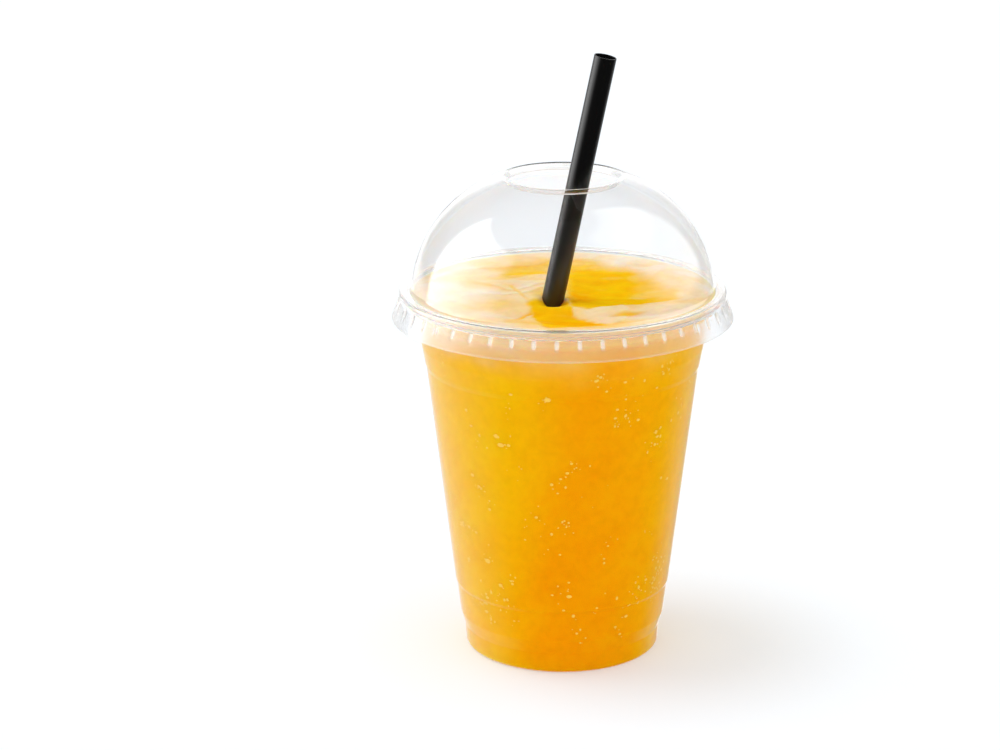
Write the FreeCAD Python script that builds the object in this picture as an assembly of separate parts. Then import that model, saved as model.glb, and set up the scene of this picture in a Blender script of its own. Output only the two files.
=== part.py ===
"""A clear takeaway cup of orangeade with a snap-on dome lid and a drinking straw.

Four pieces, in millimetres, standing on the origin with +Z up. The cup and the lid are thin
thermoformed sheets, so each is drawn as one path of corners for its outer face, given the sheet's
thickness and turned about Z. The drink follows the inside of the cup's path.
"""

import FreeCAD
import Part

import math
import os

from FreeCAD import Vector

# Cup: radii and heights of its outer face.
CUP_HEIGHT = 112.0
CUP_SHEET = 0.4
FOOT_R = 29.5
FOOT_HEIGHT = 6.3
FOOT_FLARE = 0.4
HEEL_R = 1.4
CONTACT_WIDTH = 1.0
BASE_RECESS = 3.2
BASE_FILLET = 1.0
FOOT_FILLET = 0.8
BULGE_STEP = 1.3
BULGE_HEIGHT = 4.3
BULGE_FILLET = 2.5
BAND_TOP = 20.0
BAND_STEP = 0.4
BAND_STEP_RISE = 1.0
STACK_STEP_BELOW_RIM = 23.3
STACK_STEP = 0.45
STACK_STEP_RISE = 1.4
STEP_FILLET = 0.6
COLLAR_EASE = 1.0
COLLAR_EASE_RISE = 5.5
COLLAR_FILLET = 3.0
SHOULDER_BELOW_RIM = 7.4
SHOULDER_STEP = 2.45
SHOULDER_RISE = 1.9
MOUTH_FLARE = 0.5
MOUTH_R = 45.4
RIM_ROLL_R = 1.5

# Drink: its level at the wall, its gentle crown and the hollows in its thick surface.
LEVEL_BELOW_RIM = 0.5
FILL_GAP = 0.05
CROWN_RISE = 0.7
STRAW_HOLLOW_DEPTH = 1.5
STRAW_HOLLOW_R = 6.5
# Each hollow: distance from the axis, bearing, half length, half width, turn (degrees), depth.
SURFACE_HOLLOWS = (
    (17.0, -8.0, 17.0, 13.0, -12.0, 1.7),
    (31.5, -85.0, 11.0, 6.5, -6.0, 1.5),
    (25.0, 118.0, 9.0, 5.5, 8.0, 1.0),
    (30.0, -112.0, 7.0, 3.0, 35.0, 1.1),
    (35.0, -52.0, 7.5, 2.6, 12.0, 1.0),
)
SURFACE_SAMPLES = 33

# Lid: a dome on a ledge that rests on the cup's rim, with a skirt that snaps below it.
LID_SHEET = 0.4
LID_SEAT_GAP = 0.05
LID_SIDE_GAP = 0.55
LEDGE_EDGE_R = 0.9
EDGE_BAND_HEIGHT = 2.6
SKIRT_DROP = 6.0
SKIRT_FLARE = 2.2
SKIRT_FILLET = 1.2
DOME_FOOT_STEP = 0.1
DOME_FOOT_FILLET = 1.6
DOME_FOOT_LEAN = 8.3
DOME_RISE = 34.3
DOME_ARC_SPARE = 0.1
CROWN_SLOPE = 18.5
HOLE_R = 16.4
LIP_WIDTH = 1.4
LIP_DROP = 2.0
LIP_FILLET = 0.9
LUG_COUNT = 47
LUG_WIDTH = 1.4
LUG_HEIGHT = 3.0
LUG_GRIP = 0.35
LUG_CHAMFER = 0.3

# Straw: it stands near the foot's wall and leans on the lip of the lid's hole.
STRAW_D = 6.6
STRAW_SHEET = 0.35
STRAW_LENGTH = 179.5
STRAW_FOOT_HEIGHT = 9.0
STRAW_FOOT_BEARING = -160.5
STRAW_LIP_BEARING = -72.2
STRAW_REST_GAP = 0.3
STRAW_DRINK_GAP = 0.05

CUT_MARGIN = 10.0
ZERO_LENGTH = 1e-6

# Sizes that more than one piece meets.
ROLL_MIDDLE_Z = CUP_HEIGHT - RIM_ROLL_R
MOUTH_INNER_R = MOUTH_R - CUP_SHEET
RIM_R = MOUTH_INNER_R + 2 * RIM_ROLL_R
DRINK_LEVEL = CUP_HEIGHT - LEVEL_BELOW_RIM
LEDGE_TOP = CUP_HEIGHT + LID_SEAT_GAP + LID_SHEET
LID_EDGE_R = RIM_R + LID_SIDE_GAP + LID_SHEET
FLARE_TOP = LEDGE_TOP - EDGE_BAND_HEIGHT
DOME_TOP = LEDGE_TOP + DOME_RISE


def bearing(radius, degrees, height=0.0):
    """The point at a radius from the axis, turned from +X towards +Y."""
    angle = math.radians(degrees)
    return Vector(radius * math.cos(angle), radius * math.sin(angle), height)


# Paths: lists of (radius, height, fillet) corners.


def directions(corners):
    """The unit direction of each run between neighbouring corners."""
    found = []
    for (r0, z0, _), (r1, z1, _) in zip(corners, corners[1:]):
        length = math.hypot(r1 - r0, z1 - z0)
        found.append(((r1 - r0) / length, (z1 - z0) / length))
    return found


def offset_path(corners, distance):
    """The path moved to its left by a distance, with its fillets kept concentric."""
    runs = directions(corners)
    runs = [runs[0]] + runs + [runs[-1]]
    moved = []
    for (r, z, fillet), (ar, az), (br, bz) in zip(corners, runs, runs[1:]):
        normal_r, normal_z = -az - bz, ar + br
        scale = distance / (1 + ar * br + az * bz)
        left_turn = ar * bz - az * br
        grown = fillet - math.copysign(distance, left_turn) if fillet else 0.0
        moved.append((r + normal_r * scale, z + normal_z * scale, max(grown, 0.0)))
    return moved


def path_edges(corners):
    """Straight runs joined by tangent arcs, in the XZ plane."""
    points = [Vector(r, 0, z) for r, z, _ in corners]
    edges = []
    here = points[0]
    for before, corner, after, (_, _, fillet) in zip(points, points[1:], points[2:], corners[1:]):
        if fillet < ZERO_LENGTH:
            edges.append(Part.LineSegment(here, corner).toShape())
            here = corner
            continue
        back = (before - corner).normalize()
        ahead = (after - corner).normalize()
        half = back.getAngle(ahead) / 2
        start = corner + back * (fillet / math.tan(half))
        end = corner + ahead * (fillet / math.tan(half))
        inward = (back + ahead).normalize()
        middle = corner + inward * (fillet / math.sin(half) - fillet)
        if here.distanceToPoint(start) > ZERO_LENGTH:
            edges.append(Part.LineSegment(here, start).toShape())
        edges.append(Part.Arc(start, middle, end).toShape())
        here = end
    if here.distanceToPoint(points[-1]) > ZERO_LENGTH:
        edges.append(Part.LineSegment(here, points[-1]).toShape())
    return edges


def turned(edges):
    """The solid that a closed profile in the XZ plane sweeps in a full turn about Z."""
    face = Part.Face(Part.Wire(Part.__sortEdges__(edges)))
    return face.revolve(Vector(0, 0, 0), Vector(0, 0, 1), 360)


def turned_sheet(corners, thickness):
    """A sheet of even thickness on the left of a path, turned about Z."""
    inner = offset_path(corners, thickness)
    caps = []
    for (r0, z0, _), (r1, z1, _) in ((corners[0], inner[0]), (corners[-1], inner[-1])):
        caps.append(Part.LineSegment(Vector(r0, 0, z0), Vector(r1, 0, z1)).toShape())
    return turned(path_edges(corners) + path_edges(inner) + caps)


# Cup.


def cup_wall_path():
    """The cup's outer face from the middle of its base to where the rim starts to roll."""
    foot_inner = FOOT_R - 2 * HEEL_R - CONTACT_WIDTH
    bulge_r = FOOT_R + FOOT_FLARE + BULGE_STEP
    bulge_z = FOOT_HEIGHT + BULGE_HEIGHT
    collar_r = MOUTH_R - MOUTH_FLARE - SHOULDER_STEP
    stack_r = collar_r - COLLAR_EASE - STACK_STEP
    stack_z = CUP_HEIGHT - STACK_STEP_BELOW_RIM
    band_step_z = BAND_TOP + BAND_STEP_RISE
    slope = (stack_r - BAND_STEP - bulge_r) / (BAND_TOP - bulge_z + stack_z - band_step_z)
    band_r = bulge_r + slope * (BAND_TOP - bulge_z)
    ease_z = stack_z + STACK_STEP_RISE
    shoulder_z = CUP_HEIGHT - SHOULDER_BELOW_RIM
    return [
        (0.0, BASE_RECESS, 0.0),
        (foot_inner - BASE_RECESS / 2, BASE_RECESS, BASE_FILLET),
        (foot_inner, 0.0, HEEL_R),
        (FOOT_R, 0.0, HEEL_R),
        (FOOT_R + FOOT_FLARE, FOOT_HEIGHT, FOOT_FILLET),
        (bulge_r, bulge_z, BULGE_FILLET),
        (band_r, BAND_TOP, STEP_FILLET),
        (band_r + BAND_STEP, band_step_z, STEP_FILLET),
        (stack_r, stack_z, STEP_FILLET),
        (stack_r + STACK_STEP, ease_z, STEP_FILLET),
        (collar_r, ease_z + COLLAR_EASE_RISE, COLLAR_FILLET),
        (collar_r, shoulder_z, STEP_FILLET),
        (collar_r + SHOULDER_STEP, shoulder_z + SHOULDER_RISE, STEP_FILLET),
        (MOUTH_R, ROLL_MIDDLE_Z, 0.0),
    ]


def rim_path():
    """The rolled rim: a curl outwards from the mouth, over and back under itself."""
    roll = RIM_ROLL_R - CUP_SHEET
    far_r = MOUTH_R + 2 * roll
    top = ROLL_MIDDLE_Z + roll
    bottom = ROLL_MIDDLE_Z - roll
    return [
        (MOUTH_R, ROLL_MIDDLE_Z, 0.0),
        (MOUTH_R, top, roll),
        (far_r, top, roll),
        (far_r, bottom, roll),
        (MOUTH_R + roll, bottom, 0.0),
    ]


def make_cup():
    return turned_sheet(cup_wall_path() + rim_path()[1:], CUP_SHEET)


# Straw.


def straw_ends():
    """The middles of the straw's lower and upper ends."""
    foot_r = FOOT_R - CUP_SHEET - STRAW_D / 2 - STRAW_REST_GAP
    lip_r = HOLE_R - STRAW_D / 2 - STRAW_REST_GAP
    foot = bearing(foot_r, STRAW_FOOT_BEARING, STRAW_FOOT_HEIGHT)
    at_lip = bearing(lip_r, STRAW_LIP_BEARING, DOME_TOP - LIP_DROP)
    lean = (at_lip - foot).normalize()
    return foot, foot + lean * STRAW_LENGTH


def straw_rod(radius, overrun=0.0):
    """A round rod along the straw's axis, longer than the straw by an overrun at each end."""
    foot, tip = straw_ends()
    lean = (tip - foot).normalize()
    return Part.makeCylinder(radius, STRAW_LENGTH + 2 * overrun, foot - lean * overrun, lean)


def make_straw():
    bore = straw_rod(STRAW_D / 2 - STRAW_SHEET, CUT_MARGIN)
    return straw_rod(STRAW_D / 2).cut(bore)


# Drink.


def hollow_at(x, y, centre, half_length, half_width, turn, depth):
    """How far one smooth oval hollow sinks the surface at (x, y)."""
    angle = math.radians(turn)
    along = (x - centre.x) * math.cos(angle) + (y - centre.y) * math.sin(angle)
    across = (y - centre.y) * math.cos(angle) - (x - centre.x) * math.sin(angle)
    return depth * math.exp(-((along / half_length) ** 2 + (across / half_width) ** 2) ** 1.5)


def surface_height(x, y, straw_centre):
    """The drink's surface: level at the wall, a little crowned, and sunk by its hollows."""
    inward = max(0.0, 1 - (x * x + y * y) / MOUTH_INNER_R**2)
    height = DRINK_LEVEL + CROWN_RISE * inward
    height -= hollow_at(x, y, straw_centre, STRAW_HOLLOW_R, STRAW_HOLLOW_R, 0, STRAW_HOLLOW_DEPTH)
    for radius, degrees, half_length, half_width, turn, depth in SURFACE_HOLLOWS:
        centre = bearing(radius, degrees)
        height -= hollow_at(x, y, centre, half_length, half_width, turn, depth)
    return height


def space_above_drink():
    """A block whose underside is the drink's surface, wider than the cup's mouth."""
    foot, tip = straw_ends()
    lean = tip - foot
    straw_centre = foot + lean * ((DRINK_LEVEL - foot.z) / lean.z)
    steps = [RIM_R * (2 * i / (SURFACE_SAMPLES - 1) - 1) for i in range(SURFACE_SAMPLES)]
    grid = [[Vector(x, y, surface_height(x, y, straw_centre)) for y in steps] for x in steps]
    surface = Part.BSplineSurface()
    surface.interpolate(grid)
    return surface.toShape().extrude(Vector(0, 0, CUT_MARGIN))


def make_drink():
    inside = offset_path(cup_wall_path(), CUP_SHEET + FILL_GAP)
    wall_r = inside[-1][0]
    top = CUP_HEIGHT + CROWN_RISE
    inside += [(wall_r, top, 0.0), (0.0, top, 0.0), inside[0]]
    filled = turned(path_edges(inside))
    drink = filled.cut(space_above_drink())
    return drink.cut(straw_rod(STRAW_D / 2 + STRAW_DRINK_GAP))


# Lid.


def dome_corner(foot, crown):
    """The corner where the dome's lower and upper tangents cross, with the largest arc they allow."""
    (foot_r, foot_z, foot_fillet), (crown_r, crown_z, crown_fillet) = foot, crown
    lean = math.radians(DOME_FOOT_LEAN)
    slope = math.radians(CROWN_SLOPE)
    span_r = foot_r - crown_r
    span_z = crown_z - foot_z
    turn = math.pi / 2 - lean - slope
    lower_run = (span_z * math.cos(slope) - span_r * math.sin(slope)) / math.sin(turn)
    upper_run = (span_r * math.cos(lean) - span_z * math.sin(lean)) / math.sin(turn)
    lower_free = lower_run - foot_fillet * math.tan((math.pi / 2 - lean) / 2)
    upper_free = upper_run - crown_fillet
    radius = (min(lower_free, upper_free) - DOME_ARC_SPARE) / math.tan(turn / 2)
    return foot_r - lower_run * math.sin(lean), foot_z + lower_run * math.cos(lean), radius


def skirt_radius(height):
    """The outer radius of the skirt's flare at a height."""
    return LID_EDGE_R + SKIRT_FLARE * (FLARE_TOP - height) / SKIRT_DROP


def lid_path():
    """The lid's outer face, from the skirt's lower edge over the ledge and dome into the hole."""
    skirt_bottom = FLARE_TOP - SKIRT_DROP
    foot = (MOUTH_R + DOME_FOOT_STEP, LEDGE_TOP, DOME_FOOT_FILLET)
    crown = (HOLE_R + LIP_WIDTH, DOME_TOP, LIP_FILLET)
    return [
        (skirt_radius(skirt_bottom), skirt_bottom, 0.0),
        (LID_EDGE_R, FLARE_TOP, SKIRT_FILLET),
        (LID_EDGE_R, LEDGE_TOP, LEDGE_EDGE_R),
        foot,
        dome_corner(foot, crown),
        crown,
        (HOLE_R, DOME_TOP - LIP_DROP, 0.0),
    ]


def make_lug():
    """One snap lug: a rib inside the skirt, just below the rolled rim, at bearing zero."""
    bottom = FLARE_TOP - LUG_HEIGHT
    inner = LID_EDGE_R - LID_SHEET - LUG_GRIP
    side = -LUG_WIDTH / 2
    points = [
        Vector(inner, side, bottom + LUG_CHAMFER),
        Vector(inner, side, FLARE_TOP),
        Vector(skirt_radius(FLARE_TOP) - LID_SHEET / 2, side, FLARE_TOP),
        Vector(skirt_radius(bottom) - LID_SHEET / 2, side, bottom),
    ]
    outline = Part.Face(Part.makePolygon(points + points[:1]))
    return outline.extrude(Vector(0, LUG_WIDTH, 0))


def make_lid():
    sheet = turned_sheet(lid_path(), LID_SHEET)
    lugs = []
    for index in range(LUG_COUNT):
        lug = make_lug()
        lug.rotate(Vector(0, 0, 0), Vector(0, 0, 1), 360 * index / LUG_COUNT)
        lugs.append(lug)
    return sheet.fuse(lugs)


PIECES = {
    "cup": make_cup,
    "drink": make_drink,
    "lid": make_lid,
    "straw": make_straw,
}

os.makedirs("parts", exist_ok=True)
for name, make in PIECES.items():
    piece = make()
    piece.exportStep(f"parts/{name}.step")
    box = piece.BoundBox
    size = f"{box.XLength:.1f} x {box.YLength:.1f} x {box.ZMin:.1f}..{box.ZMax:.1f}"
    print(name, size, f"{piece.Volume / 1000:.2f} cm3", "solids", len(piece.Solids), piece.isValid())
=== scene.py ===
"""Looks of a takeaway cup of orangeade: clear cup, iced drink, dome lid and black straw.

Sizes are in millimetres in the row frame: x to the right, y to the back, z up from the table.
"""

import math

import bpy
import numpy as np
from mathutils import Matrix


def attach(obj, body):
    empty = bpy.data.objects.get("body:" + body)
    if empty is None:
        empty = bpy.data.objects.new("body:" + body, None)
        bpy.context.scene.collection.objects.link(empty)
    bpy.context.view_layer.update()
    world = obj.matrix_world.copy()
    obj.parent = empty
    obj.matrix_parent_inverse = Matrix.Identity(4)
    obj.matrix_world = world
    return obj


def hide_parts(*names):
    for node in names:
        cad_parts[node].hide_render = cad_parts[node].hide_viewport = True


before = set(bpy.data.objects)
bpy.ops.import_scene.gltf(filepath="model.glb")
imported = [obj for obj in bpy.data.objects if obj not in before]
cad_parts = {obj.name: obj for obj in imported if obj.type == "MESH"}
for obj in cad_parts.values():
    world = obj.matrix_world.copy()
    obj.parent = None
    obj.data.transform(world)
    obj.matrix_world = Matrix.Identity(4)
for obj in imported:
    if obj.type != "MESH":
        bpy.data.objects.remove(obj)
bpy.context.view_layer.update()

MM = 0.001
TAU = 2 * math.pi

# Sizes shared with the solids.

CUP_SHEET = 0.4
CUP_PATH = [
    (0.0, 3.2, 0.0),
    (24.1, 3.2, 1.0),
    (25.7, 0.0, 1.4),
    (29.5, 0.0, 1.4),
    (29.9, 6.3, 0.8),
    (31.2, 10.6, 2.5),
    (32.35, 20.0, 0.6),
    (32.75, 21.0, 0.6),
    (41.0, 88.7, 0.6),
    (41.45, 90.1, 0.6),
    (42.45, 95.6, 3.0),
    (42.45, 104.6, 0.6),
    (44.9, 106.5, 0.6),
    (45.4, 110.5, 0.6),
    (45.4, 111.6, 1.1),
    (47.6, 111.6, 1.1),
    (47.6, 109.4, 1.1),
    (46.5, 109.4, 0.0),
]
# The corners before the rolled rim.
CUP_WALL = CUP_PATH[:14]
LID_SHEET = 0.4
LID_PATH = [
    (51.15, 103.85, 0.0),
    (48.95, 109.85, 1.2),
    (48.95, 112.45, 0.9),
    (45.5, 112.45, 1.6),
    (41.66, 138.77, 39.27),
    (17.8, 146.75, 0.9),
    (16.4, 144.75, 0.0),
]
LUGS = 47
LUG_WIDTH = 1.4
LUG_FOOT = 106.85
LUG_TOP = 109.85
LUG_INNER_R = 48.2
LUG_DRAW = 0.33

MOUTH_INNER_R = 45.0
DRINK_LEVEL = 111.5
CROWN_RISE = 0.7
STRAW_HOLLOW_R = 6.5
STRAW_HOLLOW_DEPTH = 1.5
# Distance from the middle, bearing, half length, half width, turn and depth of each hollow.
SURFACE_HOLLOWS = [
    (17.0, -8.0, 17.0, 13.0, -12.0, 1.7),
    (31.5, -85.0, 11.0, 6.5, -6.0, 1.5),
    (25.0, 118.0, 9.0, 5.5, 8.0, 1.0),
    (30.0, -112.0, 7.0, 3.0, 35.0, 1.1),
    (35.0, -52.0, 7.5, 2.6, 12.0, 1.0),
]

STRAW_R = 3.3
STRAW_SHEET = 0.35
STRAW_LENGTH = 179.5
STRAW_FOOT = np.array([-24.04, -8.51, 9.0])
STRAW_AT_LIP = np.array([3.91, -12.19, 144.75])

# How finely the cup, the straw and the drink are divided round their axes, and how many rings the
# drink's top has from the wall to the middle.
CUP_COLUMNS = 256
STRAW_COLUMNS = 96
DRINK_COLUMNS = 360
TOP_RINGS = 110

# The flecks on the drink's side, and the heights between which they are kept.
FLECK_SEED = 7
FLECK_CLUSTERS = 190
FLECKS = 1050
FLECK_LOWEST = 9
FLECK_HIGHEST = 100

# Radii that turn a bearing into a length round the drink's side: near its top, and in general.
UPPER_SIDE_R = 41
SIDE_R = 40


# Numbers and meshes.


def rng(seed):
    """A seeded source of random numbers, the same in every run."""
    return np.random.default_rng(seed)


def ease(low, high, value):
    """Smooth step: 0 up to low, 1 from high on, and 3t^2 - 2t^3 between; high may be the lesser."""
    t = np.clip((value - low) / (high - low), 0.0, 1.0)
    return t * t * (3 - 2 * t)


def ripples(x, y, length, seed, waves=9):
    """Soft noise from -1 to 1: the mean of sine waves of about one length, in seeded directions."""
    draw = rng(seed)
    way = draw.uniform(0, TAU, waves)
    count = TAU / (length * draw.uniform(0.7, 1.5, waves))
    phase = draw.uniform(0, TAU, waves)
    x, y = np.asarray(x)[..., None], np.asarray(y)[..., None]
    total = np.sin((x * np.cos(way) + y * np.sin(way)) * count + phase).sum(-1)
    return total / math.sqrt(waves)


def unit(vector):
    """The vector made 1 long."""
    return vector / np.linalg.norm(vector)


def moved_left(corners, depth):
    """The path moved to its left by depth: each run shifts along its normal, and runs meet again.

    A fillet that turns left loses the depth, and one that turns right gains it.
    """
    points = np.array([corner[:2] for corner in corners])
    fillets = np.array([corner[2] for corner in corners])
    runs = points[1:] - points[:-1]
    runs = runs / np.linalg.norm(runs, axis=1)[:, None]
    lefts = np.stack([-runs[:, 1], runs[:, 0]], axis=1)
    before = np.vstack([lefts[:1], lefts])
    after = np.vstack([lefts, lefts[-1:]])
    reach = depth / (1 + (before * after).sum(1))
    shifted = points + (before + after) * reach[:, None]
    turn = before[:, 0] * after[:, 1] - before[:, 1] * after[:, 0]
    radii = np.where(fillets > 0, np.maximum(fillets - depth * np.sign(turn), 0.05), 0.0)
    return [(r, z, fillet) for (r, z), fillet in zip(shifted, radii)]


def section(corners, arc_step=9.0, run_step=4.0):
    """Points along a path of runs and fillets: every arc is cut into equal angles of about arc_step
    degrees, and every run into equal lengths, with one point close to each of its ends so that
    the shading of a flat stays flat."""
    points = [np.array(corner[:2]) for corner in corners]
    pieces = []
    for place, corner in enumerate(corners):
        here = points[place]
        if place in (0, len(corners) - 1) or corner[2] == 0:
            pieces.append(here[None])
            continue
        back = unit(points[place - 1] - here)
        ahead = unit(points[place + 1] - here)
        half = math.acos(np.clip(back @ ahead, -1, 1)) / 2
        centre = here + unit(back + ahead) * corner[2] / math.sin(half)
        start = here + back * corner[2] / math.tan(half) - centre
        end = here + ahead * corner[2] / math.tan(half) - centre
        sweep = math.atan2(start[0] * end[1] - start[1] * end[0], start @ end)
        turns = np.linspace(0, sweep, max(3, int(abs(math.degrees(sweep)) / arc_step) + 2))[:, None]
        quarter = np.array([-start[1], start[0]])
        pieces.append(centre + start * np.cos(turns) + quarter * np.sin(turns))
    path = [pieces[0]]
    for piece in pieces[1:]:
        start, end = path[-1][-1], piece[0]
        length = np.linalg.norm(end - start)
        near = min(0.12, length / 4)
        inner = np.linspace(near, length - near, max(2, int(length / run_step) + 2))[:, None]
        path.append(start + (end - start) / length * inner)
        path.append(piece)
    return np.vstack(path)


def turned(profile, bearings):
    """The grid of a profile (r, z) turned about the upright axis: x = r cos b, y = r sin b."""
    r, z = profile[:, :1], profile[:, 1:]
    return np.stack(
        [r * np.cos(bearings), r * np.sin(bearings), z + 0 * bearings],
        axis=-1,
    )


def all_round(count):
    """Equally spaced bearings, once round."""
    return np.arange(count) / count * TAU


def grid_faces(rows, columns, round_rows):
    """Quads of a grid that closes on itself along its columns, and along its rows if asked.

    With rows that run along a profile whose free side is on its right, they face the free side.
    """
    row = np.arange(rows if round_rows else rows - 1)[:, None]
    column = np.arange(columns)[None, :]
    above = (row + 1) % rows * columns
    here = row * columns
    beside = (column + 1) % columns
    quads = np.stack([here + column, here + beside, above + beside, above + column], axis=-1)
    return quads.reshape(-1, 4)


def make_piece(name, points, quads, triangles, material):
    """A smooth-shaded mesh object at the origin, from points in millimetres."""
    mesh = bpy.data.meshes.new(name)
    mesh.from_pydata((points * MM).tolist(), [], quads.tolist() + triangles.tolist())
    mesh.polygons.foreach_set("use_smooth", np.ones(len(mesh.polygons), bool))
    mesh.materials.append(material)
    mesh.update()
    piece = bpy.data.objects.new(name, mesh)
    bpy.context.scene.collection.objects.link(piece)
    return piece


def skin(name, grid, material, round_rows=False, first_pole=None, last_pole=None):
    """A piece from a grid of points whose rows are rings, closed at its ends by pole points."""
    rows, columns = grid.shape[:2]
    points = grid.reshape(-1, 3)
    quads = grid_faces(rows, columns, round_rows)
    column = np.arange(columns)
    beside = (column + 1) % columns
    fans = [np.zeros((0, 3), int)]
    if first_pole is not None:
        fans.append(np.stack([0 * column + len(points), beside, column], axis=1))
        points = np.vstack([points, first_pole])
    if last_pole is not None:
        last = (rows - 1) * columns
        fans.append(np.stack([0 * column + len(points), last + column, last + beside], axis=1))
        points = np.vstack([points, last_pole])
    return make_piece(name, points, quads, np.vstack(fans), material)


def add_values(piece, name, values):
    """A number at each point of a piece's mesh, for its material to read."""
    layer = piece.data.attributes.new(name, "FLOAT", "POINT")
    layer.data.foreach_set("value", np.asarray(values, np.float32).ravel())


# Materials.


def linear(code):
    """An sRGB hex colour as linear red, green, blue and full alpha."""
    parts = [int(code[place : place + 2], 16) / 255 for place in (0, 2, 4)]
    levels = [p / 12.92 if p <= 0.04045 else ((p + 0.055) / 1.055) ** 2.4 for p in parts]
    return (*levels, 1.0)


def add_node(tree, kind, links=None, sockets=None, **settings):
    """A node with its settings, the values of its sockets and the links into it."""
    node = tree.nodes.new(kind)
    for name, value in settings.items():
        setattr(node, name, value)
    for name, value in (sockets or {}).items():
        node.inputs[name].default_value = value
    for name, source in (links or {}).items():
        tree.links.new(source, node.inputs[name])
    return node


def new_material(name):
    """A material whose node tree is still empty."""
    material = bpy.data.materials.new(name)
    material.use_nodes = True
    material.node_tree.nodes.clear()
    return material


def clear_pla(name, waviness):
    """Thermoformed PLA: clear, glossy and colourless, with the faint waviness of a drawn sheet, a
    milky haze where the sheet is folded hard or cut, and a fine grain where it is crimped.

    Lamps and soft light pass straight through, less a little at each face.
    """
    material = new_material(name)
    tree = material.node_tree
    place = add_node(tree, "ShaderNodeTexCoord").outputs["Object"]
    wave = add_node(
        tree,
        "ShaderNodeTexNoise",
        {"Vector": place},
        {"Scale": 1 / 0.022, "Detail": 1.0, "Roughness": 0.4},
    )
    bump = add_node(
        tree,
        "ShaderNodeBump",
        {"Height": wave.outputs["Fac"]},
        {"Strength": 1.0, "Distance": waviness * MM},
    )
    haze = add_node(tree, "ShaderNodeAttribute", attribute_name="haze").outputs["Fac"]
    clear = add_node(tree, "ShaderNodeMath", {1: haze}, {0: 1.0}, operation="SUBTRACT")
    grain = add_node(tree, "ShaderNodeAttribute", attribute_name="grain").outputs["Fac"]
    sheet = add_node(
        tree,
        "ShaderNodeBsdfPrincipled",
        {
            "Normal": bump.outputs["Normal"],
            "Transmission Weight": clear.outputs["Value"],
            "Roughness": grain,
        },
        {"Base Color": linear("FCFCFC"), "IOR": 1.46},
    )
    passed = add_node(
        tree,
        "ShaderNodeBsdfTransparent",
        sockets={"Color": (0.985, 0.985, 0.985, 1.0)},
    )
    path = add_node(tree, "ShaderNodeLightPath")
    lit = add_node(
        tree,
        "ShaderNodeMixShader",
        {0: path.outputs["Is Shadow Ray"], 1: sheet.outputs["BSDF"], 2: passed.outputs["BSDF"]},
    )
    soft = add_node(
        tree,
        "ShaderNodeMixShader",
        {0: path.outputs["Is Diffuse Ray"], 1: lit.outputs["Shader"], 2: passed.outputs["BSDF"]},
    )
    add_node(tree, "ShaderNodeOutputMaterial", {"Surface": soft.outputs["Shader"]})
    return material


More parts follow.
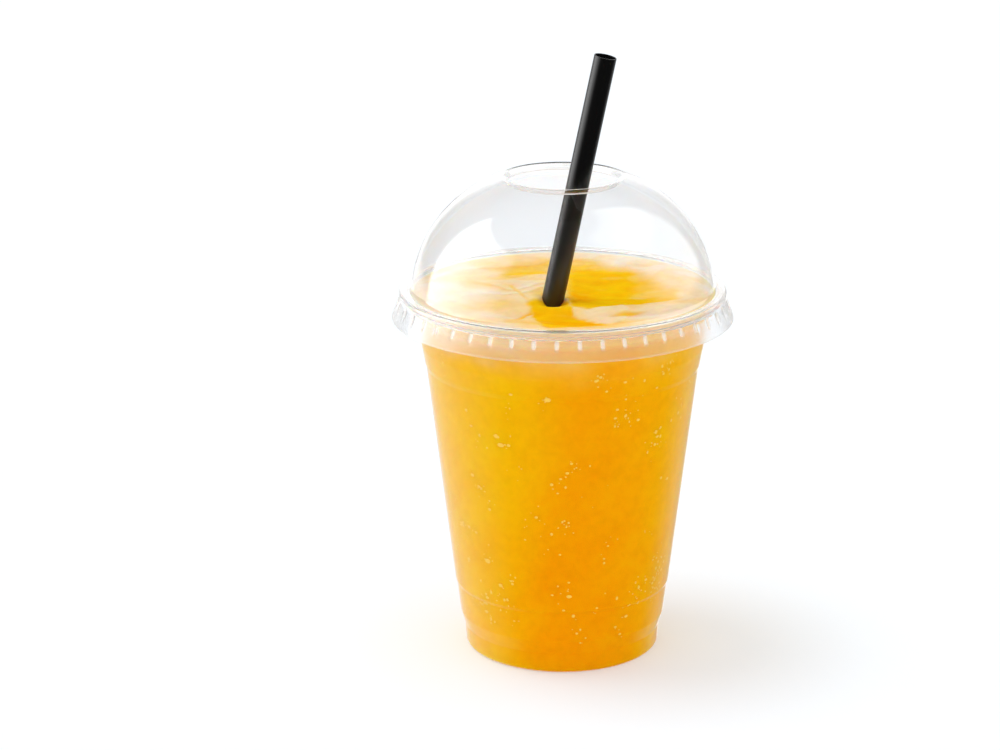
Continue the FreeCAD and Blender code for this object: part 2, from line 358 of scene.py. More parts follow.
def iced_orangeade():
    """Blended orange drink with ice: cloudy, wet and full of fine pulp, which glows a little where
    light enters it. Air whips its top to a pale froth that lies over the clearer juice."""
    material = new_material("iced orangeade")
    tree = material.node_tree
    place = add_node(tree, "ShaderNodeTexCoord").outputs["Object"]
    froth = add_node(tree, "ShaderNodeAttribute", attribute_name="froth").outputs["Fac"]
    orange = add_node(tree, "ShaderNodeAttribute", attribute_name="orange").outputs["Fac"]
    # Soft clouds of pulp about 14 mm across, and grains of ice about 3 mm across.
    clouds = add_node(
        tree,
        "ShaderNodeTexNoise",
        {"Vector": place},
        {"Scale": 1 / 0.014, "Detail": 2.0, "Roughness": 0.5},
    )
    grains = add_node(
        tree,
        "ShaderNodeTexNoise",
        {"Vector": place},
        {"Scale": 1 / 0.003, "Detail": 2.0, "Roughness": 0.6},
    )
    # The orange share holds painted shade and light on the drink's side: deeper orange at the front
    # and the right, yellower at the left where the light falls.
    juice = add_node(tree, "ShaderNodeValToRGB", {"Fac": orange})
    juice.color_ramp.elements[0].color = linear("FEC107")
    juice.color_ramp.elements[1].color = linear("FFA200")
    pale = add_node(tree, "ShaderNodeValToRGB", {"Fac": froth})
    pale.color_ramp.elements[0].color = linear("FFBE1E")
    pale.color_ramp.elements[1].color = linear("F0E0CC")
    for share, code in ((0.25, "F8C056"), (0.5, "F7CC8A"), (0.75, "F3D6AC")):
        pale.color_ramp.elements.new(share).color = linear(code)
    begun = add_node(
        tree,
        "ShaderNodeMapRange",
        {"Value": froth},
        {"From Min": 0.0, "From Max": 0.25},
    )
    body = add_node(
        tree,
        "ShaderNodeMix",
        {"Factor": begun.outputs["Result"], 6: juice.outputs["Color"], 7: pale.outputs["Color"]},
        data_type="RGBA",
    )
    cloud_shade = add_node(
        tree,
        "ShaderNodeMapRange",
        {"Value": clouds.outputs["Fac"]},
        {"From Min": 0.3, "From Max": 0.7, "To Min": 0.955, "To Max": 1.02},
    )
    grain_shade = add_node(
        tree,
        "ShaderNodeMapRange",
        {"Value": grains.outputs["Fac"]},
        {"From Min": 0.3, "From Max": 0.7, "To Min": 0.955, "To Max": 1.035},
    )
    shade = add_node(
        tree,
        "ShaderNodeMath",
        {0: cloud_shade.outputs["Result"], 1: grain_shade.outputs["Result"]},
        operation="MULTIPLY",
    )
    tinted = add_node(
        tree,
        "ShaderNodeMix",
        {6: body.outputs[2], 7: shade.outputs["Value"]},
        {"Factor": 1.0},
        data_type="RGBA",
        blend_type="MULTIPLY",
    )
    gloss = add_node(
        tree,
        "ShaderNodeMapRange",
        {"Value": froth},
        {"To Min": 0.12, "To Max": 0.5},
    )
    bump = add_node(
        tree,
        "ShaderNodeBump",
        {"Height": grains.outputs["Fac"]},
        {"Strength": 0.5, "Distance": 0.2 * MM},
    )
    drink = add_node(
        tree,
        "ShaderNodeBsdfPrincipled",
        {
            "Base Color": tinted.outputs[2],
            "Roughness": gloss.outputs["Result"],
            "Normal": bump.outputs["Normal"],
        },
        {
            "IOR": 1.35,
            "Specular IOR Level": 0.0,
            "Subsurface Weight": 0.8,
            "Subsurface Radius": (1.0, 0.4, 0.06),
            "Subsurface Scale": 0.009,
        },
    )
    add_node(tree, "ShaderNodeOutputMaterial", {"Surface": drink.outputs["BSDF"]})
    return material


def ice_flecks():
    """Flecks of ice and air against the wall: paler than the drink, and matt, because the gloss in
    front of them is the cup's."""
    material = new_material("ice flecks")
    tree = material.node_tree
    fleck = add_node(
        tree,
        "ShaderNodeBsdfPrincipled",
        sockets={
            "Base Color": linear("FFCC52"),
            "Roughness": 0.5,
            "IOR": 1.31,
            "Specular IOR Level": 0.0,
        },
    )
    add_node(tree, "ShaderNodeOutputMaterial", {"Surface": fleck.outputs["BSDF"]})
    return material


def black_polypropylene():
    """Extruded polypropylene, dyed black: satin, with faint die lines along the straw."""
    material = new_material("black extruded polypropylene")
    tree = material.node_tree
    place = add_node(tree, "ShaderNodeUVMap", uv_map="along straw").outputs["UV"]
    # Die lines about 0.3 mm apart round the straw and hundreds of times as long.
    stretch = add_node(
        tree,
        "ShaderNodeMapping",
        {"Vector": place},
        {"Scale": (60.0, 1.5, 1.0)},
    )
    lines = add_node(
        tree,
        "ShaderNodeTexNoise",
        {"Vector": stretch.outputs["Vector"]},
        {"Scale": 1.0, "Detail": 2.0},
        noise_dimensions="2D",
    )
    bump = add_node(
        tree,
        "ShaderNodeBump",
        {"Height": lines.outputs["Fac"]},
        {"Strength": 0.35, "Distance": 0.04 * MM},
    )
    plastic = add_node(
        tree,
        "ShaderNodeBsdfPrincipled",
        {"Normal": bump.outputs["Normal"]},
        {"Base Color": linear("040404"), "Roughness": 0.3, "IOR": 1.6},
    )
    add_node(tree, "ShaderNodeOutputMaterial", {"Surface": plastic.outputs["BSDF"]})
    return material


# Pieces.


def make_cup():
    """The sheet of the cup: its path, and the same path moved inwards by the sheet, turned."""
    outer = section(CUP_PATH)
    inner = section(moved_left(CUP_PATH, CUP_SHEET))[::-1]
    profile = np.vstack([outer[1:], inner[:-1]])
    bearings = all_round(CUP_COLUMNS)
    grid = turned(profile, bearings)
    poles = [np.array([0.0, 0.0, outer[0, 1]]), np.array([0.0, 0.0, inner[-1, 1]])]
    piece = skin("cup_shell", grid, clear_pla("clear PLA cup", 0.05), False, *poles)
    rim = 0.04 * ease(44.5, 45.5, profile[:, 0])
    add_values(piece, "haze", np.append(np.repeat(rim, len(bearings)), [0.0, 0.0]))
    return piece


def lug_bearings():
    """Bearings that crowd at each snap lug: its middle, sides and edges, then the plain skirt."""
    pitch = TAU / LUGS
    lug = LUG_WIDTH / LUG_INNER_R / 2
    inner = np.array([-1.3, -1.0, -0.7, -0.35, 0.0, 0.35, 0.7, 1.0, 1.3]) * lug
    outer = np.linspace(inner[-1], pitch + inner[0], 7)[1:-1]
    one = np.concatenate([inner, outer])
    return (np.arange(LUGS)[:, None] * pitch + one[None, :]).ravel()


def make_lid():
    """The sheet of the lid, turned, with its snap lugs pressed in from outside.

    A lug draws the sheet in to one radius where it is widest, by a bump that is the product of
    a flat-topped step along the skirt and one round it.
    """
    outer = section(LID_PATH, run_step=0.7)
    inner = section(moved_left(LID_PATH, LID_SHEET), run_step=0.9)[::-1]
    profile = np.vstack([outer, inner])
    bearings = lug_bearings()
    grid = turned(profile, bearings)
    pitch = TAU / LUGS
    off = (bearings + pitch / 2) % pitch - pitch / 2
    lug = LUG_WIDTH / LUG_INNER_R / 2
    across = 1 - ease(0.45, 1.3, np.abs(off) / lug)
    height = profile[:, 1]
    along = ease(LUG_FOOT - 0.2, LUG_FOOT + 0.8, height)
    along = along * (1 - ease(LUG_TOP - 0.6, LUG_TOP + 0.3, height))
    skirt = profile[:, 0] > LUG_INNER_R
    is_outer = np.arange(len(profile)) < len(outer)
    goal = LUG_INNER_R + np.where(is_outer, LID_SHEET, 0.0)
    draw = np.where(skirt, np.minimum(profile[:, 0] - goal, LUG_DRAW) * along, 0.0)
    pull = draw[:, None] * across[None, :]
    radius = np.maximum(profile[:, 0], 1.0)[:, None]
    grid[..., :2] *= (1 - pull / radius)[..., None]
    piece = skin("dome_lid_shell", grid, clear_pla("clear PLA lid", 0.05), True)
    dents = 0.35 * along[:, None] * across[None, :] * skirt[:, None]
    add_values(piece, "haze", np.maximum(lid_haze(profile)[:, None], dents))
    grain = 0.2 * ease(109.9, 109.2, profile[:, 1])
    add_values(piece, "grain", np.repeat(grain, len(bearings)))
    return piece


def lid_haze(profile):
    """How milky the lid is along its section: most on the hole's cut lip, some on the skirt's cut
    edge, a little on the bead and the skirt, and none on the dome."""
    r, z = profile[:, 0], profile[:, 1]
    skirt = 0.035 * ease(111.5, 109.5, z)
    bead = 0.05 * ease(46.4, 47.4, r) * ease(109.3, 110.2, z)
    edge = 0.12 * ease(104.15, 103.95, z)
    lip = 0.8 * ease(16.9, 16.5, r) * ease(145.3, 144.9, z)
    return np.maximum.reduce([skirt, bead, edge, lip])


def straw_frame():
    """The straw's direction, and two directions square to it."""
    along = unit(STRAW_AT_LIP - STRAW_FOOT)
    aside = unit(np.cross(along, np.array([0.0, 1.0, 0.0])))
    return along, aside, np.cross(along, aside)


def make_straw():
    """A thin tube: its section, with softened cut ends, carried round the straw's axis.

    A point is foot + along h + r (aside cos b + ahead sin b).
    """
    along, aside, ahead = straw_frame()
    inner_r = STRAW_R - STRAW_SHEET
    soft = 0.1
    outside = [
        (inner_r, 0.0, soft),
        (STRAW_R, 0.0, soft),
        (STRAW_R, STRAW_LENGTH, soft),
        (inner_r, STRAW_LENGTH, soft),
    ]
    loop = [(inner_r, STRAW_LENGTH / 2, 0.0)] + outside + [(inner_r, STRAW_LENGTH / 2, 0.0)]
    profile = section(loop, arc_step=30, run_step=6.0)[:-1]
    bearings = all_round(STRAW_COLUMNS)
    ring = aside * np.cos(bearings)[:, None] + ahead * np.sin(bearings)[:, None]
    r, h = profile[:, 0][:, None, None], profile[:, 1][:, None, None]
    grid = STRAW_FOOT + h * along + r * ring[None]
    piece = skin("drinking_straw", grid, black_polypropylene(), True)
    add_straw_map(piece, len(bearings), profile)
    return piece


def add_straw_map(piece, columns, profile):
    """A map along the straw: the way round in turns, and the height in lengths of one turn."""
    mesh = piece.data
    corners = np.empty(len(mesh.loops), int)
    mesh.loops.foreach_get("vertex_index", corners)
    start = np.empty(len(mesh.polygons), int)
    mesh.polygons.foreach_get("loop_start", start)
    column = corners % columns
    first = np.repeat(column[start], 4)
    column = np.where((column == 0) & (first != 0) & (first > columns / 2), columns, column)
    height = profile[corners // columns, 1] / (TAU * STRAW_R)
    layer = mesh.uv_layers.new(name="along straw")
    layer.data.foreach_set("uv", np.stack([column / columns, height], axis=1).ravel())


def oval_sink(x, y, centre_x, centre_y, half_length, half_width, turn, depth):
    """depth times exp(-(a^2 + b^2)^1.5), where a and b run along and across the oval."""
    angle = math.radians(turn)
    along = (x - centre_x) * math.cos(angle) + (y - centre_y) * math.sin(angle)
    across = (y - centre_y) * math.cos(angle) - (x - centre_x) * math.sin(angle)
    return depth * np.exp(-(((along / half_length) ** 2 + (across / half_width) ** 2) ** 1.5))


def patch(x, y, corners, soft):
    """How far inside a rounded patch a point lies, in mm: the soft least of its distances from the
    lines that join the corners, which run anticlockwise seen from above."""
    corners = np.array(corners)
    ahead = np.roll(corners, -1, axis=0) - corners
    ahead = ahead / np.linalg.norm(ahead, axis=1)[:, None]
    x, y = x[..., None] - corners[:, 0], y[..., None] - corners[:, 1]
    inside = ahead[:, 0] * y - ahead[:, 1] * x
    return -soft * np.log(np.exp(-inside / soft).sum(-1))


# Corners of each pool of clear juice, in mm to the right and to the back, anticlockwise.
RIGHT_POOL = [
    (1.0, -22.0),
    (11.0, -23.5),
    (24.0, -17.0),
    (35.5, -10.0),
    (34.0, -3.0),
    (17.5, 20.0),
    (2.0, 21.5),
]
FRONT_POOL = [(-8.8, -13.0), (-8.2, -30.0), (-5.5, -42.0), (1.0, -42.0), (2.4, -13.0)]
FRONT_TAIL = [
    (-6.0, -42.0),
    (5.0, -42.5),
    (13.5, -38.5),
    (10.0, -33.5),
    (1.5, -27.0),
    (-6.0, -29.0),
]
BACK_POOL = [(-21.0, 10.0), (-4.0, 15.0), (-3.0, 32.0), (-16.0, 34.0)]
LEFT_FOLD = [(-14.8, -32.3), (-12.6, -33.3), (-7.4, -23.6), (-9.2, -22.0)]
RIGHT_SLIT = [(13.5, -28.8), (20.0, -27.6), (24.6, -24.0), (17.0, -25.4)]
CREASE = [(-15.3, 1.5), (-11.0, -16.0), (-10.2, -16.0), (-14.0, 2.5)]


# Middle, half length, half width, turn and depth of each place where the froth is thinner.
THIN_FROTH = [
    (-21.5, -20.0, 8.0, 7.0, 10, 0.3),
    (-20.0, 0.0, 7.0, 6.0, 30, 0.2),
    (-15.0, -36.0, 14.0, 3.5, -14, 0.25),
    (20.0, -37.0, 15.0, 3.0, 24, 0.2),
    (-7.0, -7.0, 3.0, 7.0, 0, 0.35),
    (3.0, 29.0, 9.0, 6.0, 0, 0.45),
    (36.0, 10.0, 7.0, 6.0, 0, 0.15),
]


def pool_reach(x, y):
    """How far inside each pool a point lies, in mm, with wandering edges."""
    u = x + 1.1 * ripples(x, y, 16, 3) + 0.45 * ripples(x, y, 5, 4)
    v = y + 1.1 * ripples(x, y, 16, 5) + 0.45 * ripples(x, y, 5, 6)
    right = patch(u, v, RIGHT_POOL, 1.2)
    front = np.maximum(patch(u, v, FRONT_POOL, 0.8), patch(x, v, FRONT_TAIL, 0.6))
    back = patch(u, v, BACK_POOL, 1.5)
    return right, front, back


def pools(x, y):
    """How much the clear juice shows through the froth, from 0 to 1.

    The right pool fades out softly at its back, and a haze of froth lies on its far right above
    a clear streak. The others are thin folds with crisp edges.
    """
    right, front, back = pool_reach(x, y)
    haze = 0.42 * ease(18, 25, x + 2 * ripples(x, y, 9, 7)) * ease(-11, -5, y + ripples(x, y, 6, 8))
    right = ease(-1.5 - 5.5 * ease(-8, 12, y), 2.5, right) * (1 - haze)
    front = ease(-0.9, 1.3, front)
    back = 0.8 * ease(-3.0, 4.0, back) * (1 - 0.5 * ease(16, 30, y))
    fold = 0.8 * ease(-0.5, 1.0, patch(x, y + ripples(x, y, 6, 9), LEFT_FOLD, 0.4))
    slit = 0.75 * ease(-0.6, 1.0, patch(x, y, RIGHT_SLIT, 0.4))
    bend = 1.2 * np.sin((y + 7) / 8)
    crease = 0.5 * ease(-0.5, 0.6, patch(x + bend, y, CREASE, 0.3))
    return np.maximum.reduce([right, front, back, fold, slit, crease])


def straw_at_level():
    """Where the straw's axis passes through the level of the drink."""
    along = STRAW_AT_LIP - STRAW_FOOT
    return STRAW_FOOT + along * (DRINK_LEVEL - STRAW_FOOT[2]) / along[2]


def folds(x, y):
    """Folds of whipped froth, from 0 to 1: the fractional part of a slow warped wave, so that each
    swells gently on one side and breaks off on the other."""
    u = x + 3.0 * ripples(x, y, 21, 51)
    v = y + 3.0 * ripples(x, y, 21, 52)
    level = 0.5 * ripples(u * 0.8, v, 25, 53) + 0.02 * u - 0.03 * v
    part = level - np.floor(level)
    return part * ease(0.0, 0.14, 1 - part)


def drink_height(x, y):
    """The drink's surface: the solid's crown and hollows, with froth standing a little proud of the
    juice, soft folds round the straw and fine unevenness in the froth."""
    radius = np.hypot(x, y)
    height = DRINK_LEVEL + CROWN_RISE * np.maximum(0.0, 1 - (radius / MOUTH_INNER_R) ** 2)
    straw_x, straw_y, _ = straw_at_level()
    height = height - oval_sink(
        x, y, straw_x, straw_y, STRAW_HOLLOW_R, STRAW_HOLLOW_R, 0, STRAW_HOLLOW_DEPTH
    )
    # The froth clings to the straw's sides and leaves a notch in front of it.
    height = height - oval_sink(x, y, straw_x + 0.3, straw_y - 4.2, 3.0, 3.4, 0, 0.9)
    height = height + oval_sink(x, y, straw_x - 4.4, straw_y + 0.5, 2.6, 4.5, 0, 1.1)
    height = height + oval_sink(x, y, straw_x + 4.4, straw_y + 0.5, 2.2, 4.0, 0, 0.8)
    for out, degrees, half_length, half_width, turn, depth in SURFACE_HOLLOWS:
        centre_x = out * math.cos(math.radians(degrees))
        centre_y = out * math.sin(math.radians(degrees))
        height = height - oval_sink(x, y, centre_x, centre_y, half_length, half_width, turn, depth)
    clear = pools(x, y)
    froth = 1 - clear
    lumps = 0.15 * ripples(x, y, 9, 11) + 0.05 * ripples(x, y, 3.2, 12)
    swell = 0.10 * ripples(x * 0.7, y, 8.0, 13)
    inland = ease(0, 6, MOUTH_INNER_R - radius)
    return height + inland * (froth * (0.1 + 0.4 * folds(x, y) + lumps) + clear * swell)


def froth_on_top(x, y):
    """Froth on the surface: only thin streaks in the pools. Outside them it is thinner near a pool,
    in soft drifts, in the troughs of the folds and at the places in THIN_FROTH."""
    clear = pools(x, y)
    near = ease(-15.0, 0.5, np.maximum.reduce(pool_reach(x, y)))
    drifts = 0.5 + 0.5 * np.tanh(1.6 * ripples(x, y, 13, 31))
    froth = 1.0 - 0.3 * near - 0.12 * drifts - 0.2 * (1 - folds(x, y))
    for place in THIN_FROTH:
        froth = froth - oval_sink(x, y, *place)
    froth = np.maximum(froth, 0.3)
    streaks = ease(0.7, 1.6, ripples(x * 0.4, y, 5.5, 32)) * 0.12
    return froth * (1 - clear) + streaks * clear


def froth_on_side(x, y, z):
    """Froth on the wall: a band under the surface that thins out downwards in slanting streaks, and
    is thinnest at the front right."""
    around = np.arctan2(y, x) * UPPER_SIDE_R
    drift = 2.0 * ripples(around, z * 1.6, 26, 21) + 1.0 * ripples(around * 0.5, z * 1.8, 8, 22)
    share = 1.16 - 0.54 * np.cos(np.arctan2(y, x) + math.radians(50))
    return 0.7 * share * ease(88, 112, z + drift) ** 1.6


def orange_and_painted_shade(x, y, z):
    """How deep an orange the drink is, from 0 to 1. On the side it is painted shade and light:
    deepest at the front, a little to the right, reaching further to the right, and yellower at the
    left, where the light falls. It also deepens towards the foot and at the back, with a little
    random unevenness. On top the juice is deeper orange in two hollows, by the straw and at the
    front, over an uneven tone."""
    low = ease(85, 20, z)
    # Painted shade and light: the side is deepest orange at the front and to the right, and stays
    # yellower at the left where the light falls.
    middle = math.radians(-76) - math.radians(8) * low
    off = (np.arctan2(y, x) - middle + math.pi) % TAU - math.pi
    reach = 0.45 + 0.12 * low + 0.3 * ease(0.0, 0.5, off)
    off = np.abs(off)
    side = np.exp(-((off / reach) ** 2)) * (0.85 + 0.15 * low)
    side = side + 0.5 * np.exp(-(((off - 2.6) / 0.6) ** 2))
    side = side + 0.12 * low + 0.07 * ripples(np.arctan2(y, x) * SIDE_R, z, 18, 41)
    straw_x, straw_y, _ = straw_at_level()
    deep = oval_sink(x, y, straw_x + 6.5, straw_y + 1.5, 7.0, 5.5, 20, 1.0)
    deep = deep + oval_sink(x, y, 4.0, -35.0, 11.0, 4.5, -8, 0.95)
    deep = deep + 0.22 + 0.3 * (0.5 + 0.5 * np.tanh(2 * ripples(x * 0.5, y, 7, 42)))
    return np.clip(np.where(on_surface(x, y, z), deep, side), 0, 1)


def on_surface(x, y, z):
    """Whether a point of the drink belongs to its top and not to its side."""
    return (z > DRINK_LEVEL - 3.5) & (np.hypot(x, y) < MOUTH_INNER_R - 0.2)


def froth_amount(x, y, z):
    """Froth at a point of the drink's top or side, from 0 to 1."""
    return np.where(on_surface(x, y, z), froth_on_top(x, y), froth_on_side(x, y, z))


def make_drink():
    """The drink: the cup's path moved half way into its sheet, up to the level, and the surface."""
    wall = section(moved_left(CUP_WALL + [(45.6, 112.0, 0.0)], CUP_SHEET / 2), run_step=1.9)
    wall = wall[wall[:, 1] < DRINK_LEVEL - 0.15]
    mouth_r = wall[-1, 0] + 0.02
    wall = np.vstack([wall, [[mouth_r, DRINK_LEVEL]]])
    bearings = all_round(DRINK_COLUMNS)
    sides = turned(wall[1:], bearings)
    radii = mouth_r * (1 - np.arange(1, TOP_RINGS + 1) / (TOP_RINGS + 1)) ** 0.9
    top = turned(np.stack([radii, 0 * radii], axis=1), bearings)
    top[..., 2] = drink_height(top[..., 0], top[..., 1])
    grid = np.concatenate([sides, top])
    centre = drink_height(np.zeros(1), np.zeros(1))[0]
    poles = [np.array([0.0, 0.0, wall[0, 1]]), np.array([0.0, 0.0, centre])]
    piece = skin("orangeade_fill", grid, iced_orangeade(), False, *poles)
    x, y, z = np.vstack([grid.reshape(-1, 3), poles]).T
    add_values(piece, "froth", froth_amount(x, y, z))
    # The orange share includes painted shade and light on the side: deeper orange at the front and
    # right, yellower at the lit left.
    add_values(piece, "orange", orange_and_painted_shade(x, y, z))
    return piece


def wall_radius(z):
    """The radius of the drink's side at a height, read along its section."""
    wall = section(moved_left(CUP_WALL, CUP_SHEET / 2), run_step=1.0)
    wall = wall[np.argmax(wall[:, 1] > 7) :]
    return np.interp(z, wall[:, 1], wall[:, 0])


def strewn_flecks():
    """The bearing, height, size and stretch of each fleck, strewn in seeded clusters. About one in
    twenty is larger than the rest."""
    draw = rng(FLECK_SEED)
    cluster_way = draw.uniform(0, TAU, FLECK_CLUSTERS)
    cluster_up = draw.uniform(FLECK_LOWEST + 1, FLECK_HIGHEST, FLECK_CLUSTERS)
    spread = draw.uniform(0.7, 3.4, FLECK_CLUSTERS)
    cluster = draw.integers(0, FLECK_CLUSTERS, FLECKS)
    way = cluster_way[cluster] + draw.normal(0, 1, FLECKS) * spread[cluster] / SIDE_R
    up = cluster_up[cluster] + draw.normal(0, 1, FLECKS) * spread[cluster]
    keep = (up > FLECK_LOWEST) & (up < FLECK_HIGHEST)
    way, up = way[keep], up[keep]
    count = len(way)
    size = 0.2 + 0.42 * draw.random(count) ** 1.8
    size = size + np.where(draw.random(count) > 0.95, 0.42, 0.0)
    stretch = draw.uniform(0.8, 1.3, count)
    return way, up, size, stretch


def make_flecks():
    """Flat oval flecks on the drink's side.

    A fleck is a low dome over an ellipse: out = thickness (1 - d^2), where d runs from 0 to 1.
    """
    way, up, size, stretch = strewn_flecks()
    count = len(way)
    spokes = 10
    spoke = all_round(spokes)
    rings = np.array([1.0, 0.7, 0.35])
    across = rings[:, None] * np.cos(spoke)
    rise = rings[:, None] * np.sin(spoke)
    out = 1 - rings[:, None] ** 2 + 0 * spoke
    u = size[:, None, None] * stretch[:, None, None] * across
    v = size[:, None, None] / stretch[:, None, None] * rise
    z = up[:, None, None] + v
    radius = wall_radius(z) - 0.03 + 0.13 * out
    bearing = way[:, None, None] + u / radius
    rim = np.stack([radius * np.cos(bearing), radius * np.sin(bearing), z], axis=-1)
    top_r = wall_radius(up) + 0.1
    top = np.stack([top_r * np.cos(way), top_r * np.sin(way), up], axis=-1)
    under_r = wall_radius(up) - 0.3
    under = np.stack([under_r * np.cos(way), under_r * np.sin(way), up], axis=-1)
    each = np.concatenate([rim.reshape(count, -1, 3), top[:, None], under[:, None]], axis=1)
    quads = grid_faces(3, spokes, False)
    last = 2 * spokes
    turn = np.arange(spokes)
    beside = (turn + 1) % spokes
    cap = np.stack([0 * turn + 3 * spokes, last + turn, last + beside], axis=1)
    base = np.stack([0 * turn + 3 * spokes + 1, beside, turn], axis=1)
    triangles = np.vstack([cap, base])
    shift = (np.arange(count) * each.shape[1])[:, None, None]
    return make_piece(
        "ice_flecks",
        each.reshape(-1, 3),
        (quads[None] + shift).reshape(-1, 4),
        (triangles[None] + shift).reshape(-1, 3),
        ice_flecks(),
    )


# Stage.

# The table top: how far it reaches each way, its height just under the foot, and its glow.
FLOOR_HALF = 6000.0
FLOOR_Z = -0.02
FLOOR_GLOW = 0.25
# The fill that matt surfaces get from low down, and from above.
FILL = 1.12
FILL_ABOVE = 0.78
# The key lamp: its strength, its width, height and bearing in degrees, and its distance.
KEY = 0.85
KEY_WIDTH = 26
KEY_HEIGHT = 71
KEY_BEARING = -100
KEY_DISTANCE = 1000
# The camera's place is in metres, its yaw in radians, and its pitch and roll are in degrees.
CAMERA_PLACE = (0.0, -0.850, 0.3444)
CAMERA_PITCH = 16.98
CAMERA_YAW = -0.0222
CAMERA_ROLL = -0.227
CAMERA_LENS = 105.93
CAMERA_SENSOR = 36.0


def mirrored(tree, path):
    """1 for a ray that some gloss has turned back since it left the eye or a matt surface."""
    turned_back = add_node(
        tree,
        "ShaderNodeMath",
        {0: path.outputs["Glossy Depth"]},
        {1: 1.0},
        operation="MINIMUM",
    )
    fresh = add_node(
        tree,
        "ShaderNodeMath",
        {1: path.outputs["Is Diffuse Ray"]},
        {0: 1.0},
        operation="SUBTRACT",
    )
    both = add_node(
        tree,
        "ShaderNodeMath",
        {0: turned_back.outputs["Value"], 1: fresh.outputs["Value"]},
        operation="MULTIPLY",
    )
    return both.outputs["Value"]


def stage_floor():
    """A white table top: matt, with an even glow of its own, and unseen by gloss."""
    material = new_material("white table top")
    tree = material.node_tree
    path = add_node(tree, "ShaderNodeLightPath")
    matt = add_node(tree, "ShaderNodeBsdfDiffuse", sockets={"Color": linear("D3DAE1")})
    glow = add_node(tree, "ShaderNodeEmission", sockets={"Strength": FLOOR_GLOW})
    links = {0: matt.outputs["BSDF"], 1: glow.outputs["Emission"]}
    both = add_node(tree, "ShaderNodeAddShader", links)
    open_air = add_node(tree, "ShaderNodeBsdfTransparent")
    top = add_node(
        tree,
        "ShaderNodeMixShader",
        {0: mirrored(tree, path), 1: both.outputs["Shader"], 2: open_air.outputs["BSDF"]},
    )
    add_node(tree, "ShaderNodeOutputMaterial", {"Surface": top.outputs["Shader"]})
    corners = np.array([[-1, -1, 0], [1, -1, 0], [1, 1, 0], [-1, 1, 0]]) * FLOOR_HALF
    corners = corners + np.array([0.0, 0.0, FLOOR_Z])
    quads, triangles = np.array([[0, 1, 2, 3]]), np.zeros((0, 3), int)
    floor = make_piece("table_top", corners, quads, triangles, material)


# What gloss sees of the studio: the strength of each light, and the edges over which it fades in.
# An edge is a guide, the value where the light begins and the value where it is full. The guides
# are the bearing from the front, positive to the right, and the height, both in degrees, and
# how many times gloss has turned the ray back.
STUDIO_LIGHTS = [
    # The dim room, and what gloss has turned back more than once.
    (0.03, []),
    (0.7, [("turns", 1, 2)]),
    # The window at the left, brighter away from the front.
    (
        0.5,
        [("bearing", -125, -119), ("bearing", -48, -58), ("height", -14, -4), ("height", 50, 47)],
    ),
    (
        2.7,
        [("bearing", -125, -119), ("bearing", -45, -100), ("height", -14, 0), ("height", 50, 47)],
    ),
    # The window at the right, which comes further to the front higher up.
    (1.1, [("bearing", 140, 132), ("bearing", 62, 90), ("height", -6, 4), ("height", 66, 50)]),
    (1.1, [("bearing", 142, 132), ("bearing", 32, 64), ("height", 34, 46), ("height", 74, 66)]),
    # The backdrop, which is brighter low down.
    (0.42, [("bearing", -128, -152), ("height", -8, 0), ("height", 42, 25)]),
    (0.42, [("bearing", 132, 155), ("height", -8, 0), ("height", 42, 25)]),
    (0.85, [("bearing", -152, -168), ("height", 26, 16)]),
    (0.6, [("bearing", 158, 172), ("height", 26, 16)]),
    # A faint ceiling in front.
    (0.08, [("bearing", -120, -100), ("bearing", 120, 100), ("height", 20, 45)]),
    # The table top, at the left and from the right round to the back.
    (0.93, [("bearing", -48, -125), ("bearing", -170, -152), ("height", 0, -8)]),
    (0.5, [("bearing", 100, 142), ("height", 0, -8)]),
]


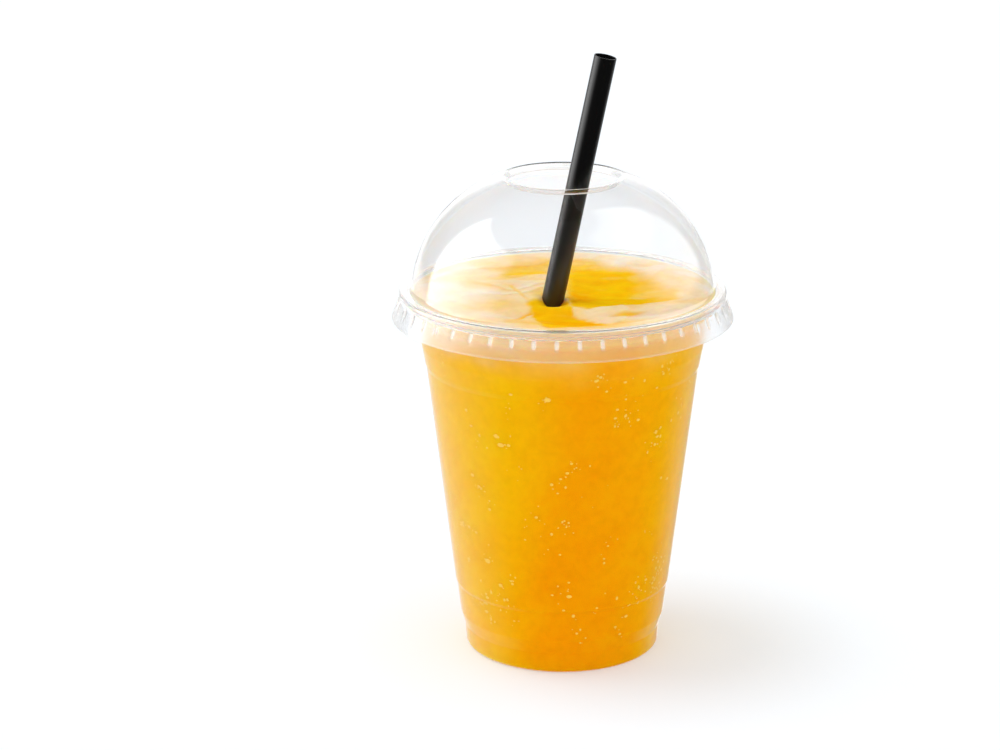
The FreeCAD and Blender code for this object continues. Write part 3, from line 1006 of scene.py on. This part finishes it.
def stage_air():
    """The studio round the cup. Matt surfaces get a white fill that is weaker from above. What
    looks straight through sees white. Gloss sees a dim room with a large window of light at the
    left, a dimmer one at the right, a backdrop that is brighter low down, and a pale table top."""
    world = bpy.data.worlds.new("studio")
    bpy.context.scene.world = world
    world.use_nodes = True
    tree = world.node_tree
    tree.nodes.clear()
    way = add_node(tree, "ShaderNodeTexCoord").outputs["Generated"]
    parts = add_node(tree, "ShaderNodeSeparateXYZ", {"Vector": way}).outputs
    front = add_node(tree, "ShaderNodeMath", {0: parts["Y"]}, {1: -1.0}, operation="MULTIPLY")
    links = {0: parts["X"], 1: front.outputs["Value"]}
    turn = add_node(tree, "ShaderNodeMath", links, operation="ARCTAN2")
    rise = add_node(tree, "ShaderNodeMath", {0: parts["Z"]}, operation="ARCSINE")
    links = {0: turn.outputs["Value"]}
    bearing = add_node(tree, "ShaderNodeMath", links, operation="DEGREES")
    links = {0: rise.outputs["Value"]}
    height = add_node(tree, "ShaderNodeMath", links, operation="DEGREES")
    path = add_node(tree, "ShaderNodeLightPath")
    guides = {
        "bearing": bearing.outputs["Value"],
        "height": height.outputs["Value"],
        "turns": path.outputs["Glossy Depth"],
    }
    total = None
    for strength, edges in STUDIO_LIGHTS:
        light = add_node(tree, "ShaderNodeValue")
        light.outputs["Value"].default_value = strength
        for guide, begins, full in edges:
            fade = add_node(
                tree,
                "ShaderNodeMapRange",
                {"Value": guides[guide]},
                {"From Min": begins, "From Max": full},
                interpolation_type="SMOOTHSTEP",
            )
            links = {0: light.outputs["Value"], 1: fade.outputs["Result"]}
            light = add_node(tree, "ShaderNodeMath", links, operation="MULTIPLY")
        if total is not None:
            links = {0: light.outputs["Value"], 1: total.outputs["Value"]}
            light = add_node(tree, "ShaderNodeMath", links, operation="ADD")
        total = light
    links = {0: path.outputs["Is Camera Ray"], 1: path.outputs["Is Transmission Ray"]}
    seen = add_node(tree, "ShaderNodeMath", links, operation="MAXIMUM")
    fill = add_node(
        tree,
        "ShaderNodeMapRange",
        {"Value": guides["height"]},
        {"From Min": 15.0, "From Max": 60.0, "To Min": FILL, "To Max": FILL_ABOVE},
        interpolation_type="SMOOTHSTEP",
    )
    plain = add_node(
        tree,
        "ShaderNodeMix",
        {"Factor": seen.outputs["Value"], "A": fill.outputs["Result"]},
        {"B": 1.0},
        data_type="FLOAT",
    )
    level = add_node(
        tree,
        "ShaderNodeMix",
        {"Factor": mirrored(tree, path), "A": plain.outputs[0], "B": total.outputs["Value"]},
        data_type="FLOAT",
    )
    light = add_node(tree, "ShaderNodeBackground", {"Strength": level.outputs[0]})
    light.inputs["Color"].default_value = (1.0, 1.0, 1.0, 1.0)
    add_node(tree, "ShaderNodeOutputWorld", {"Surface": light.outputs["Background"]})


def aimed(place, target):
    """The matrix of a lamp at place that shines at target, in millimetres."""
    back = unit(np.array(place) - np.array(target))
    right = unit(np.cross([0.0, 0.0, 1.0], back))
    up = np.cross(back, right)
    turn = Matrix(np.stack([right, up, back], axis=1).tolist()).to_4x4()
    return Matrix.Translation([value * MM for value in place]) @ turn


def stage_key():
    """A wide soft light high up, a little to the left, whose short shadow falls to the right."""
    lamp = bpy.data.lights.new("key lamp", "SUN")
    lamp.energy = KEY
    lamp.angle = math.radians(KEY_WIDTH)
    key = bpy.data.objects.new("key_lamp", lamp)
    key.visible_glossy = False
    key.visible_transmission = False
    bpy.context.scene.collection.objects.link(key)
    height, side = math.radians(KEY_HEIGHT), math.radians(KEY_BEARING)
    level = math.cos(height)
    way = np.array([level * math.sin(side), -level * math.cos(side), math.sin(height)])
    key.matrix_world = aimed(way * KEY_DISTANCE, (0.0, 0.0, 0.0))


def stage_camera():
    """A long lens in front of the cup, above it and looking down at it."""
    pitch, yaw, roll = math.radians(CAMERA_PITCH), CAMERA_YAW, math.radians(CAMERA_ROLL)
    level = math.cos(pitch)
    ahead = np.array([math.sin(yaw) * level, math.cos(yaw) * level, -math.sin(pitch)])
    right = np.array([math.cos(yaw), -math.sin(yaw), 0.0])
    up = np.cross(right, ahead)
    right_rolled = right * math.cos(roll) + up * math.sin(roll)
    up_rolled = up * math.cos(roll) - right * math.sin(roll)
    lens = bpy.data.cameras.new("camera")
    lens.sensor_width = CAMERA_SENSOR
    lens.lens = CAMERA_LENS
    lens.clip_start = 0.01
    camera = bpy.data.objects.new("camera", lens)
    bpy.context.scene.collection.objects.link(camera)
    turn = Matrix(np.stack([right_rolled, up_rolled, -ahead], axis=1).tolist()).to_4x4()
    camera.matrix_world = Matrix.Translation(CAMERA_PLACE) @ turn
    bpy.context.scene.camera = camera


def set_view():
    """Plain colours, and enough bounces for light to cross every clear sheet."""
    scene = bpy.context.scene
    scene.view_settings.view_transform = "Standard"
    scene.cycles.max_bounces = 24
    scene.cycles.glossy_bounces = 16
    scene.cycles.transmission_bounces = 16
    scene.cycles.transparent_max_bounces = 24


set_view()
stage_camera()
stage_air()
stage_key()
stage_floor()

cup = make_cup()
lid = make_lid()
straw = make_straw()
drink = make_drink()
flecks = make_flecks()

for piece in (cup, lid, straw, drink, flecks):
    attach(piece, "root")
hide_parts("cup")
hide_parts("lid")
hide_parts("straw")
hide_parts("drink")
